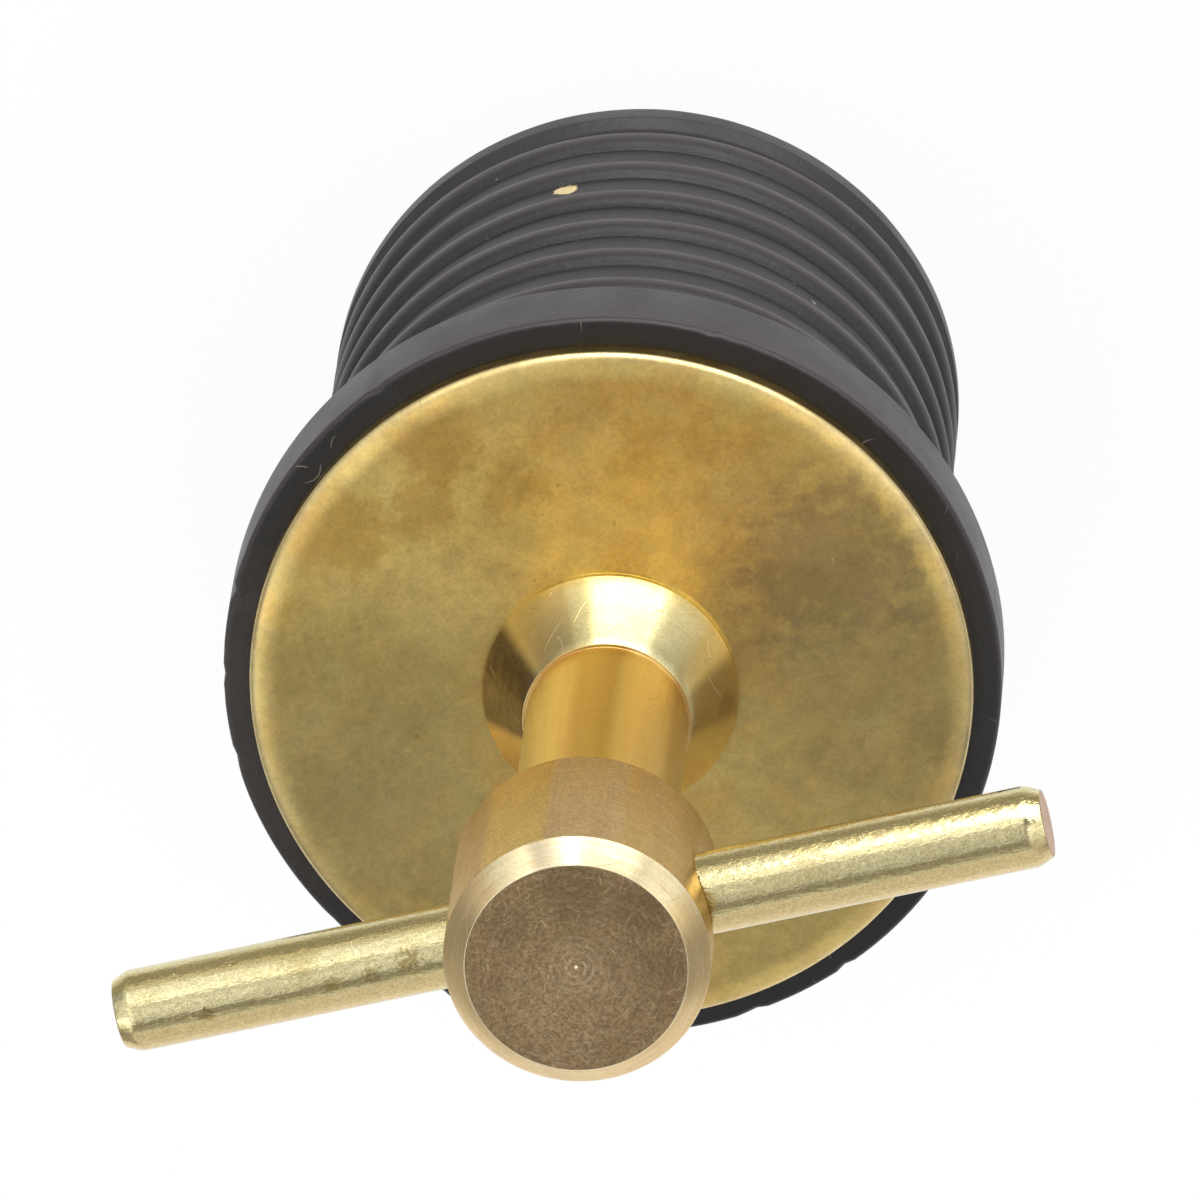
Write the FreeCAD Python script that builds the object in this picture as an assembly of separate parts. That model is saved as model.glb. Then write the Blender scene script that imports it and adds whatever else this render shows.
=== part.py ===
import FreeCAD, Part
import math
import os

# Expanding drain plug for a one inch drain: a ribbed rubber stopper squeezed between a brass washer and
# a brass nut by a tee handled screw that runs through it. Millimetres. +Z is the plug's axis and points
# to the handle, X runs along the tee bar, and the origin is the middle of the nut's underside.

# Screw thread, cut straight into the handle's own shank
thread_diameter = 6.35
thread_pitch = 25.4 / 20
thread_running_clearance = 0.05
thread_end_chamfer = 0.6
thread_end_spare = 0.4
tighten_turns = 1.75

# Flanged nut under the rubber, with a hexagon that keys it into the moulding
nut_flange_diameter = 22.2
nut_flange_thickness = 1.6
nut_hexagon = 11.0
nut_hexagon_height = 6.4
nut_mouth_chamfer = 0.5

# Rubber stopper
rubber_length = 29.3
rib_diameter = 25.5
rib_pitch = 3.1
rib_foot_width = 1.4
rib_height = 0.4
end_land_height = 1.2
end_edge_chamfer = 0.35
plain_land_height = 4.0
flange_diameter = 30.8
flange_thickness = 3.55
flange_back_chamfer = 0.2
rubber_bore_clearance = 0.35
hexagon_socket_clearance = 0.1

# Top washer
washer_diameter = 28.575
washer_thickness = 1.16
washer_rolled_edge = 0.45
washer_roll_steps = 2
washer_hole_clearance = 0.3

# Handle screw, heights above the washer's face
foot_diameter = 10.1
foot_land = 0.3
foot_top_diameter = 6.78
foot_height = 3.05
neck_diameter = 6.4
head_diameter = 10.26
head_back_height = 18.06
head_length = 8.63
head_front_chamfer = 0.85
head_back_chamfer = 0.2
head_root_chamfer = 0.3
face_tip_diameter = 0.5
face_tip_height = 0.1

# Tee bar
tee_bar_diameter = 3.175
tee_bar_length = 36.7
tee_bar_below_face = 4.64
tee_bar_lead_radial = 0.27
tee_bar_lead_length = 0.6
tee_bar_interference = 0.005
cross_hole_countersink = 0.3

# Levels that follow from the stack
rubber_base = nut_flange_thickness
flange_face = rubber_base + rubber_length
flange_back = flange_face - flange_thickness
washer_face = flange_face + washer_thickness
head_back = washer_face + head_back_height
head_face = head_back + head_length
bar_level = head_face - tee_bar_below_face
travel = thread_pitch * tighten_turns
screw_end = travel + thread_end_spare

axis_point = FreeCAD.Vector(0, 0, 0)
up = FreeCAD.Vector(0, 0, 1)
along_bar = FreeCAD.Vector(1, 0, 0)


def turned(outline):
    """Revolve a closed outline of (radius, height) points about the plug's axis."""
    points = [FreeCAD.Vector(radius, 0, height) for radius, height in outline]
    face = Part.Face(Part.makePolygon(points + points[:1]))
    return face.revolve(axis_point, up, 360)


def ring_edges(shape, radius, height):
    """Circular edges of a turned shape at one radius and height."""
    found = []
    for edge in shape.Edges:
        curve = edge.Curve
        if not isinstance(curve, Part.Circle):
            continue
        if abs(curve.Radius - radius) < 0.001 and abs(curve.Center.z - height) < 0.001:
            found.append(edge)
    return found


def hexagon_prism(across_flats, height, level):
    corner = across_flats / math.sqrt(3)
    turns = [math.radians(60 * side) for side in range(7)]
    points = [FreeCAD.Vector(corner * math.cos(turn), corner * math.sin(turn), level) for turn in turns]
    return Part.Face(Part.makePolygon(points)).extrude(FreeCAD.Vector(0, 0, height))


def base_nut():
    bore = thread_diameter / 2 + thread_running_clearance
    top = nut_flange_thickness + nut_hexagon_height
    flange = Part.makeCylinder(nut_flange_diameter / 2, nut_flange_thickness)
    body = flange.fuse(hexagon_prism(nut_hexagon, top, 0))
    mouth = bore + nut_mouth_chamfer
    hole = turned([(0, 0), (mouth, 0), (bore, nut_mouth_chamfer), (bore, top), (0, top)])
    return body.cut(hole).removeSplitter()


def rib_outline():
    """Body's side from the end land over the sealing ribs to the plain land under the flange."""
    crest = rib_diameter / 2
    root = crest - rib_height
    half_foot = rib_foot_width / 2
    land_top = rubber_base + end_land_height
    land_start = flange_back - plain_land_height
    rib_count = int((land_start - rib_foot_width - rubber_base) / rib_pitch)
    outline = [(crest, land_top), (root, land_top + half_foot)]
    for rib in range(1, rib_count + 1):
        level = rubber_base + rib * rib_pitch
        outline += [(root, level - half_foot), (crest, level), (root, level + half_foot)]
    return outline + [(root, land_start - half_foot), (crest, land_start)]


def rubber_stopper():
    body = rib_diameter / 2
    rim = flange_diameter / 2
    bore = thread_diameter / 2 + rubber_bore_clearance
    base_points = [(bore, rubber_base), (body, rubber_base)]
    flange_points = [(body, flange_back), (rim, flange_back), (rim, flange_face), (bore, flange_face)]
    moulding = turned(base_points + rib_outline() + flange_points)
    moulding = moulding.makeChamfer(end_edge_chamfer, ring_edges(moulding, body, rubber_base))
    moulding = moulding.makeChamfer(flange_back_chamfer, ring_edges(moulding, rim, flange_back))
    socket = hexagon_prism(nut_hexagon + 2 * hexagon_socket_clearance,
                           nut_hexagon_height + hexagon_socket_clearance, rubber_base)
    return moulding.cut(socket)


def top_washer():
    rim = washer_diameter / 2
    hole = thread_diameter / 2 + washer_hole_clearance
    outline = [(hole, washer_face), (hole, flange_face), (rim, flange_face)]
    for step in range(washer_roll_steps + 1):
        turn = math.pi / 2 * step / washer_roll_steps
        inset = washer_rolled_edge * (1 - math.cos(turn))
        drop = washer_rolled_edge * (1 - math.sin(turn))
        outline.append((rim - inset, washer_face - drop))
    return turned(outline)


def cross_hole():
    """Reamed hole for the tee bar, lightly countersunk where it leaves the head."""
    radius = tee_bar_diameter / 2 - tee_bar_interference
    half_head = head_diameter / 2
    start = FreeCAD.Vector(-head_diameter, 0, bar_level)
    hole = Part.makeCylinder(radius, 2 * head_diameter, start, along_bar)
    mouth = math.sqrt(half_head ** 2 - radius ** 2)
    for side in (-1, 1):
        outwards = FreeCAD.Vector(side, 0, 0)
        seat = FreeCAD.Vector(side * (mouth - cross_hole_countersink), 0, bar_level)
        flare = Part.makeCone(radius, radius + half_head, half_head, seat, outwards)
        hole = hole.fuse(flare)
    return hole


def handle_screw():
    shank = thread_diameter / 2
    foot = foot_diameter / 2
    foot_top = foot_top_diameter / 2
    neck = neck_diameter / 2
    head = head_diameter / 2
    tip = face_tip_diameter / 2
    screw = turned([(0, screw_end), (shank, screw_end), (shank, washer_face), (foot, washer_face),
                    (foot, washer_face + foot_land), (foot_top, washer_face + foot_height),
                    (neck, washer_face + foot_height), (neck, head_back), (head, head_back),
                    (head, head_face), (0, head_face)])
    screw = screw.makeChamfer(thread_end_chamfer, ring_edges(screw, shank, screw_end))
    screw = screw.makeChamfer(head_root_chamfer, ring_edges(screw, neck, head_back))
    screw = screw.makeChamfer(head_back_chamfer, ring_edges(screw, head, head_back))
    screw = screw.makeChamfer(head_front_chamfer, ring_edges(screw, head, head_face))
    parting_tip = turned([(0, head_face), (tip, head_face), (0, head_face + face_tip_height)])
    return screw.fuse(parting_tip).cut(cross_hole())


def tee_bar():
    radius = tee_bar_diameter / 2
    half = tee_bar_length / 2
    lead = radius - tee_bar_lead_radial
    shoulder = half - tee_bar_lead_length
    outline = [(-half, 0), (-half, lead), (-shoulder, radius), (shoulder, radius), (half, lead), (half, 0)]
    points = [FreeCAD.Vector(place, distance, 0) for place, distance in outline]
    face = Part.Face(Part.makePolygon(points + points[:1]))
    bar = face.revolve(axis_point, along_bar, 360)
    bar.translate(FreeCAD.Vector(0, 0, bar_level))
    return bar


pieces = {
    "base_nut": base_nut,
    "rubber_stopper": rubber_stopper,
    "top_washer": top_washer,
    "handle_screw": handle_screw,
    "tee_bar": tee_bar,
}

os.makedirs("parts", exist_ok=True)
for name, make in pieces.items():
    shape = make()
    shape.exportStep("parts/" + name + ".step")
    print(name, "solids", len(shape.Solids), "valid", shape.isValid(), "volume", round(shape.Volume, 1))
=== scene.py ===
import bmesh
import bpy
import math
from mathutils import Matrix, Vector, noise


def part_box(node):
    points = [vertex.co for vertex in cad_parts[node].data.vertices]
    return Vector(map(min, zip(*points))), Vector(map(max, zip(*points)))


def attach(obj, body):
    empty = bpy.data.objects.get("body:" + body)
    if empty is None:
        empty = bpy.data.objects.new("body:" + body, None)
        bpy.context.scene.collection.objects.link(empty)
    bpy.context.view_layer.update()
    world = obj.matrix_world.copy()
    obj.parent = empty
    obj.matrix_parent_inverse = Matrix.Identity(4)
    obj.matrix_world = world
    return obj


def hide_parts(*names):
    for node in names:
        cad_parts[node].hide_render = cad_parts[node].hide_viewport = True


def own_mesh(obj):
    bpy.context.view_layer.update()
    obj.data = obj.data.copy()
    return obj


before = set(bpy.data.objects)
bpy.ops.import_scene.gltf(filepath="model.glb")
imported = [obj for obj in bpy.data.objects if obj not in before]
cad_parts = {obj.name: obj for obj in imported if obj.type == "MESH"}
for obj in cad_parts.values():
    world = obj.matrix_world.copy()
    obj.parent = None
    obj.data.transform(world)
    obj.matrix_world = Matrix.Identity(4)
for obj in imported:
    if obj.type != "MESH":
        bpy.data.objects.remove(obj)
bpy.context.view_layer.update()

scene = bpy.context.scene
mm = 0.001
atOrigin = (0.0, 0.0, 0.0)
print("frame loaded:", ", ".join(sorted(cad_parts)))

# The levels that the pieces share, in millimetres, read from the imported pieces
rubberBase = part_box("rubber_stopper")[0].z / mm
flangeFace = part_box("rubber_stopper")[1].z / mm
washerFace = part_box("top_washer")[1].z / mm
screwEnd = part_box("handle_screw")[0].z / mm
barLevel = (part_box("tee_bar")[0].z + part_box("tee_bar")[1].z) / 2 / mm

# The thread that the nut and the screw share
threadShape = {
    "pitch": 1.27,
    "depth": 0.62,
    "clearance": 0.05,
    "radius": 3.175,
    "footShare": 0.88,
    "nutShare": 0.85,
}

# Camera

photoCamera = {
    "location": (0.107502, 0.289146, 0.741577),
    "forward": (-0.13854, -0.36943, -0.91887),
    "up": (0.20131, 0.89794, -0.39137),
    "lens": 589.25,
    "sensor": 36.0,
    "nearest": 0.05,
    "farthest": 30,
}


def makeCamera(setup):
    data = bpy.data.cameras.new("photoCamera")
    data.lens = setup["lens"]
    data.sensor_width = setup["sensor"]
    data.clip_start = setup["nearest"]
    data.clip_end = setup["farthest"]
    forward = Vector(setup["forward"]).normalized()
    side = forward.cross(Vector(setup["up"])).normalized()
    turn = Matrix((side, side.cross(forward), -forward)).transposed()
    camera = bpy.data.objects.new("photoCamera", data)
    camera.matrix_world = Matrix.Translation(setup["location"]) @ turn.to_4x4()
    scene.collection.objects.link(camera)
    scene.camera = camera


makeCamera(photoCamera)
print("camera placed")

# Node helpers. New nodes go into the tree that is being built.

building = {}


def addNode(kind, values=None, **settings):
    node = building["tree"].nodes.new(kind)
    for key, value in settings.items():
        setattr(node, key, value)
    for key, value in (values or {}).items():
        plug(value, node.inputs[key])
    return node


def plug(value, socket):
    if isinstance(value, bpy.types.NodeSocket):
        building["tree"].links.new(value, socket)
    else:
        socket.default_value = value


def mathOf(operation, first, second=0.0, clamp=False):
    node = addNode("ShaderNodeMath", {0: first, 1: second}, operation=operation)
    node.use_clamp = clamp
    return node.outputs[0]


def times(first, second, clamp=False):
    return mathOf("MULTIPLY", first, second, clamp)


def plus(first, second):
    return mathOf("ADD", first, second)


def minus(first, second, clamp=False):
    return mathOf("SUBTRACT", first, second, clamp)


def ratio(first, second):
    return mathOf("DIVIDE", first, second)


def rangeOf(value, low, high, toLow=0.0, toHigh=1.0, smooth=False):
    node = addNode("ShaderNodeMapRange", {0: value, 1: low, 2: high, 3: toLow, 4: toHigh})
    node.interpolation_type = "SMOOTHSTEP" if smooth else "LINEAR"
    return node.outputs[0]


def mixColour(factor, first, second):
    node = addNode("ShaderNodeMix", data_type="RGBA")
    plug(factor, node.inputs[0])
    plug(first, node.inputs[6])
    plug(second, node.inputs[7])
    return node.outputs[2]


def coated(colour, mask, other, amount=None):
    # another colour laid over the first where the mask says, as strongly as the amount says
    cover = mask if amount is None else times(mask, amount)
    return mixColour(cover, colour, (*other, 1))


def noiseOf(vector, scale, detail=2.0, roughness=0.5, swirl=0.0):
    values = {"Vector": vector, "Scale": scale, "Detail": detail, "Roughness": roughness,
              "Distortion": swirl}
    return addNode("ShaderNodeTexNoise", values).outputs[0]


def vectorOf(operation, first, second=atOrigin):
    node = addNode("ShaderNodeVectorMath", {0: first, 1: second}, operation=operation)
    return node.outputs["Value" if operation in ("DOT_PRODUCT", "DISTANCE", "LENGTH") else "Vector"]


def inMillimetres(vector):
    return vectorOf("MULTIPLY", vector, (1 / mm, 1 / mm, 1 / mm))


def partsOf(vector):
    return addNode("ShaderNodeSeparateXYZ", {0: vector}).outputs


def joined(first, second, third=0.0):
    return addNode("ShaderNodeCombineXYZ", {0: first, 1: second, 2: third}).outputs[0]


def lengthOf(first, second):
    squares = [times(part, part) for part in (first, second)]
    return mathOf("SQRT", plus(*squares))


def cosOf(degrees):
    return math.cos(math.radians(degrees))


def sinOf(degrees):
    return math.sin(math.radians(degrees))


def skyWay(azimuth, elevation):
    # the direction at an azimuth from +X and an elevation, in degrees
    return cosOf(elevation) * cosOf(azimuth), cosOf(elevation) * sinOf(azimuth), sinOf(elevation)


def startTree(owner):
    owner.use_nodes = True
    owner.node_tree.nodes.clear()
    building["tree"] = owner.node_tree


def newGroup(name, inputs, output):
    group = bpy.data.node_groups.new(name, "ShaderNodeTree")
    building["tree"] = group
    for title, value in inputs.items():
        kind = "Float" if isinstance(value, float) else "Vector"
        socket = group.interface.new_socket(name=title, in_out="INPUT", socket_type="NodeSocket" + kind)
        socket.default_value = value
    group.interface.new_socket(name=output, in_out="OUTPUT", socket_type="NodeSocketFloat")
    given = {socket.name: socket for socket in addNode("NodeGroupInput").outputs}
    return group, given, addNode("NodeGroupOutput").inputs[0]


def useGroup(group, values):
    node = addNode("ShaderNodeGroup", node_tree=group)
    for key, value in values.items():
        plug(value, node.inputs[key])
    return node.outputs[0]


# Effects that the finishes share. Vectors are object coordinates in millimetres.


def makeTarnishPatches():
    inputs = {"Vector": atOrigin, "Size": 4.0, "Contrast": 0.2, "Offset": 0.0, "Swirl": 0.0, "Detail": 3.0}
    group, given, out = newGroup("tarnishPatches", inputs, "Mask")
    moved = vectorOf("ADD", given["Vector"], given["Offset"])
    scale = ratio(1.0, given["Size"])
    broad = noiseOf(moved, scale, given["Detail"], roughness=0.62, swirl=given["Swirl"])
    middle = 0.52
    low = minus(middle, given["Contrast"])
    high = plus(middle, given["Contrast"])
    plug(rangeOf(broad, low, high, smooth=True), out)
    return group


def makeTurnedLines():
    inputs = {"Vector": atOrigin, "Pitch": 0.15, "Wander": 0.3, "Gaps": 0.5}
    group, given, out = newGroup("turnedLines", inputs, "Height")
    parts = partsOf(given["Vector"])
    across = lengthOf(parts[0], parts[1])
    # the level less most of the radius, so that the lines show on a face and on a chamfer too
    slant = -0.83
    along = plus(parts[2], times(across, slant))
    lines = ratio(along, given["Pitch"])
    turn = mathOf("ARCTAN2", parts[1], parts[0])
    bends = [times(mathOf(kind, turn), given["Wander"]) for kind in ("COSINE", "SINE")]
    fine = minus(noiseOf(joined(lines, *bends), 1.0, roughness=0.6), 0.5)
    # the tool's marks come and go, quickly round the turned surface and slowly along it
    alongShare, roundShare, weakest, strongest = 0.7, 6.0, 0.35, 0.65
    stretched = joined(times(lines, alongShare), *[times(bend, roundShare) for bend in bends])
    torn = noiseOf(stretched, 1.0, roughness=0.6)
    strength = rangeOf(torn, weakest, strongest, toLow=minus(1.0, given["Gaps"]))
    plug(times(fine, strength), out)
    return group


def makeHairScratches():
    inputs = {"Vector": atOrigin, "Spacing": 1.0, "Share": 0.5, "Width": 0.03, "Length": 0.5, "Bend": 0.3}
    group, given, out = newGroup("hairScratches", inputs, "Mask")
    # one bowed hair in each cell, turned, cut to length and faded by the cell's own random colour
    shortest, taper, faintest = 0.25, 0.6, 0.4
    scale = ratio(1.0, given["Spacing"])
    cells = addNode("ShaderNodeTexVoronoi", {"Vector": given["Vector"], "Scale": scale},
                    voronoi_dimensions="2D").outputs
    shade = addNode("ShaderNodeSeparateColor", {0: cells["Color"]}).outputs
    local = vectorOf("SUBTRACT", given["Vector"], cells["Position"])
    turned = addNode("ShaderNodeVectorRotate", {"Vector": local}, rotation_type="Z_AXIS")
    plug(times(shade[0], 2 * math.pi), turned.inputs["Angle"])
    parts = partsOf(turned.outputs[0])
    bow = times(times(parts[0], parts[0]), given["Bend"])
    away = mathOf("ABSOLUTE", plus(parts[1], bow))
    thin = rangeOf(away, 0.0, given["Width"], 1.0, 0.0)
    reach = times(given["Length"], plus(shade[1], shortest))
    along = mathOf("ABSOLUTE", parts[0])
    end = rangeOf(along, times(reach, taper), reach, 1.0, 0.0)
    chosen = mathOf("LESS_THAN", shade[2], given["Share"])
    faint = plus(times(shade[1], 1.0 - faintest), faintest)
    mask = times(times(thin, end), times(chosen, faint))
    plug(mask, out)
    return group


def makeScatteredDots():
    # dark pits are above nought and pale specks below it
    inputs = {"Vector": atOrigin, "Spacing": 0.5, "Pit Share": 0.2, "Pit Radius": 0.2, "Speck Share": 0.1,
              "Speck Radius": 0.1}
    group, given, out = newGroup("scatteredDots", inputs, "Pits And Specks")
    smallest, faintest, raggedness, core = 0.3, 0.3, 0.3, 0.3
    ragged = addNode("ShaderNodeTexNoise", {"Vector": given["Vector"], "Scale": 6.0, "Detail": 0.0})
    shifted = vectorOf("SUBTRACT", ragged.outputs["Color"], (0.5, 0.5, 0.5))
    small = addNode("ShaderNodeVectorMath", {0: shifted}, operation="SCALE")
    plug(times(given["Spacing"], raggedness), small.inputs["Scale"])
    vector = vectorOf("ADD", given["Vector"], small.outputs[0])
    scale = ratio(1.0, given["Spacing"])
    cells = addNode("ShaderNodeTexVoronoi", {"Vector": vector, "Scale": scale}).outputs
    shade = addNode("ShaderNodeSeparateColor", {0: cells["Color"]}).outputs
    isPit = mathOf("LESS_THAN", shade[0], given["Pit Share"])
    isSpeck = mathOf("GREATER_THAN", shade[0], minus(1.0, given["Speck Share"]))
    pitSize = times(isPit, given["Pit Radius"])
    speckSize = times(isSpeck, given["Speck Radius"])
    size = times(plus(pitSize, speckSize), plus(smallest, shade[1]))
    # the rim is never as small as the core, also where the size is nought
    rim = plus(size, 0.0001)
    dot = rangeOf(cells["Distance"], times(size, core), rim, 1.0, 0.0)
    faint = plus(times(shade[2], 1.0 - faintest), faintest)
    sign = minus(isPit, isSpeck)
    plug(times(times(dot, sign), faint), out)
    return group


def makeDrawnGrain():
    inputs = {"Vector": atOrigin, "Stretch": (1.0, 1.0, 1.0), "Fineness": 6.0}
    group, given, out = newGroup("drawnGrain", inputs, "Height")
    vector = vectorOf("MULTIPLY", given["Vector"], given["Stretch"])
    grain = noiseOf(vector, given["Fineness"], roughness=0.6)
    plug(minus(grain, 0.5), out)
    return group


def makePlacedPatch():
    inputs = {"Vector": atOrigin, "Centre": atOrigin, "Radius": 1.0, "Softness": 0.5, "Raggedness": 0.4,
              "Noise": 0.5}
    group, given, out = newGroup("placedPatch", inputs, "Mask")
    away = vectorOf("DISTANCE", given["Vector"], given["Centre"])
    share = ratio(away, given["Radius"])
    ragged = times(minus(given["Noise"], 0.5), times(given["Raggedness"], 4.0))
    low = minus(1.0, given["Softness"])
    high = plus(1.0, given["Softness"])
    plug(rangeOf(plus(share, ragged), low, high, 1.0, 0.0, smooth=True), out)
    return group


tarnishPatches = makeTarnishPatches()
turnedLines = makeTurnedLines()
hairScratches = makeHairScratches()
scatteredDots = makeScatteredDots()
drawnGrain = makeDrawnGrain()
placedPatch = makePlacedPatch()


def startMaterial(name):
    material = bpy.data.materials.new(name)
    startTree(material)
    shader = addNode("ShaderNodeBsdfPrincipled")
    addNode("ShaderNodeOutputMaterial", {"Surface": shader.outputs[0]})
    place = addNode("ShaderNodeTexCoord").outputs["Object"]
    return material, shader, inMillimetres(place)


def addBump(shader, height):
    micrometre = 0.001 * mm
    bump = addNode("ShaderNodeBump", {"Strength": 1.0, "Distance": micrometre, "Height": height})
    plug(bump.outputs[0], shader.inputs["Normal"])


def unrolled(place, wrap):
    # the surface laid flat: as it is, unrolled about the plug's axis, or unrolled about the tee bar
    if wrap == "flat":
        return place
    parts = partsOf(place)
    if wrap == "bar":
        side, rise, along = parts[1], minus(parts[2], barLevel), parts[0]
    else:
        side, rise, along = parts[0], parts[1], parts[2]
    around = times(mathOf("ARCTAN2", rise, side), lengthOf(side, rise))
    return joined(around, along)


# Brass finishes, in millimetres with heights in micrometres.
# Each look changes some values of the plain one.
# A stain is a placed patch of colour, a real stain, and on the washer some are painted light and painted
# shade: (centre, radius, softness, raggedness, amount, colour).
# A collar is a ring of painted light at one level, a painted highlight along an edge or painted shade in a
# corner: (level, reach, amount, colour).
# A side is a band of painted reflection, lighter or darker, towards one direction round the axis:
# (azimuth, half width, edge, amount, colour), in degrees, on the bar from +Z towards +Y.

plainBrass = {
    "wrap": "turned",
    "patchSize": 4.0, "patchContrast": 0.2, "patchOffset": 0.0, "patchAmount": 0.5,
    "patchStretch": (1.0, 1.0, 1.0), "warmAmount": 0.3, "warmContrast": 0.16, "darkShare": 0.5,
    "mottleSize": 0.45, "mottleAmount": 0.3, "mottleContrast": 0.2, "swirl": 0.0,
    "fleckSize": 0.1, "fleckAmount": 0.12, "fleckContrast": 0.1,
    "linePitch": 0.14, "lineTint": 0.0, "lineHeight": 0.0, "lineWander": 1.5, "lineGaps": 0.6,
    "darkLines": 3, "paleLines": -2,
    "grainStretch": (1.0, 1.0, 1.0), "grainFineness": 5.0, "grainHeight": 4.0, "grainRough": 0.12,
    "scratchSpacing": 1.5, "scratchShare": 0.4, "scratchWidth": 0.022, "scratchShine": 0.4,
    "scratchBend": 0.2, "scratchDepth": 4.0,
    "dotSpacing": 0.9, "dotShare": 0.2, "dotRadius": 0.16, "dotAmount": 0.5, "dotDepth": 8.0,
    "speckShare": 0.15, "speckRadius": 0.05, "speckAmount": 0.8,
    "roughness": 0.33, "roughRise": 0.08, "leastRoughness": 0.04, "edge": (1.0, 1.0, 1.0),
    "centreRings": 0.0, "ringsFrom": 0.6, "ringsTo": 1.6, "ringTint": 0.4, "ringHeight": 3.0,
    "stainsAndPaintedLight": [], "paintedRings": [], "sides": [], "stainSize": 1.0,
}

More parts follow.
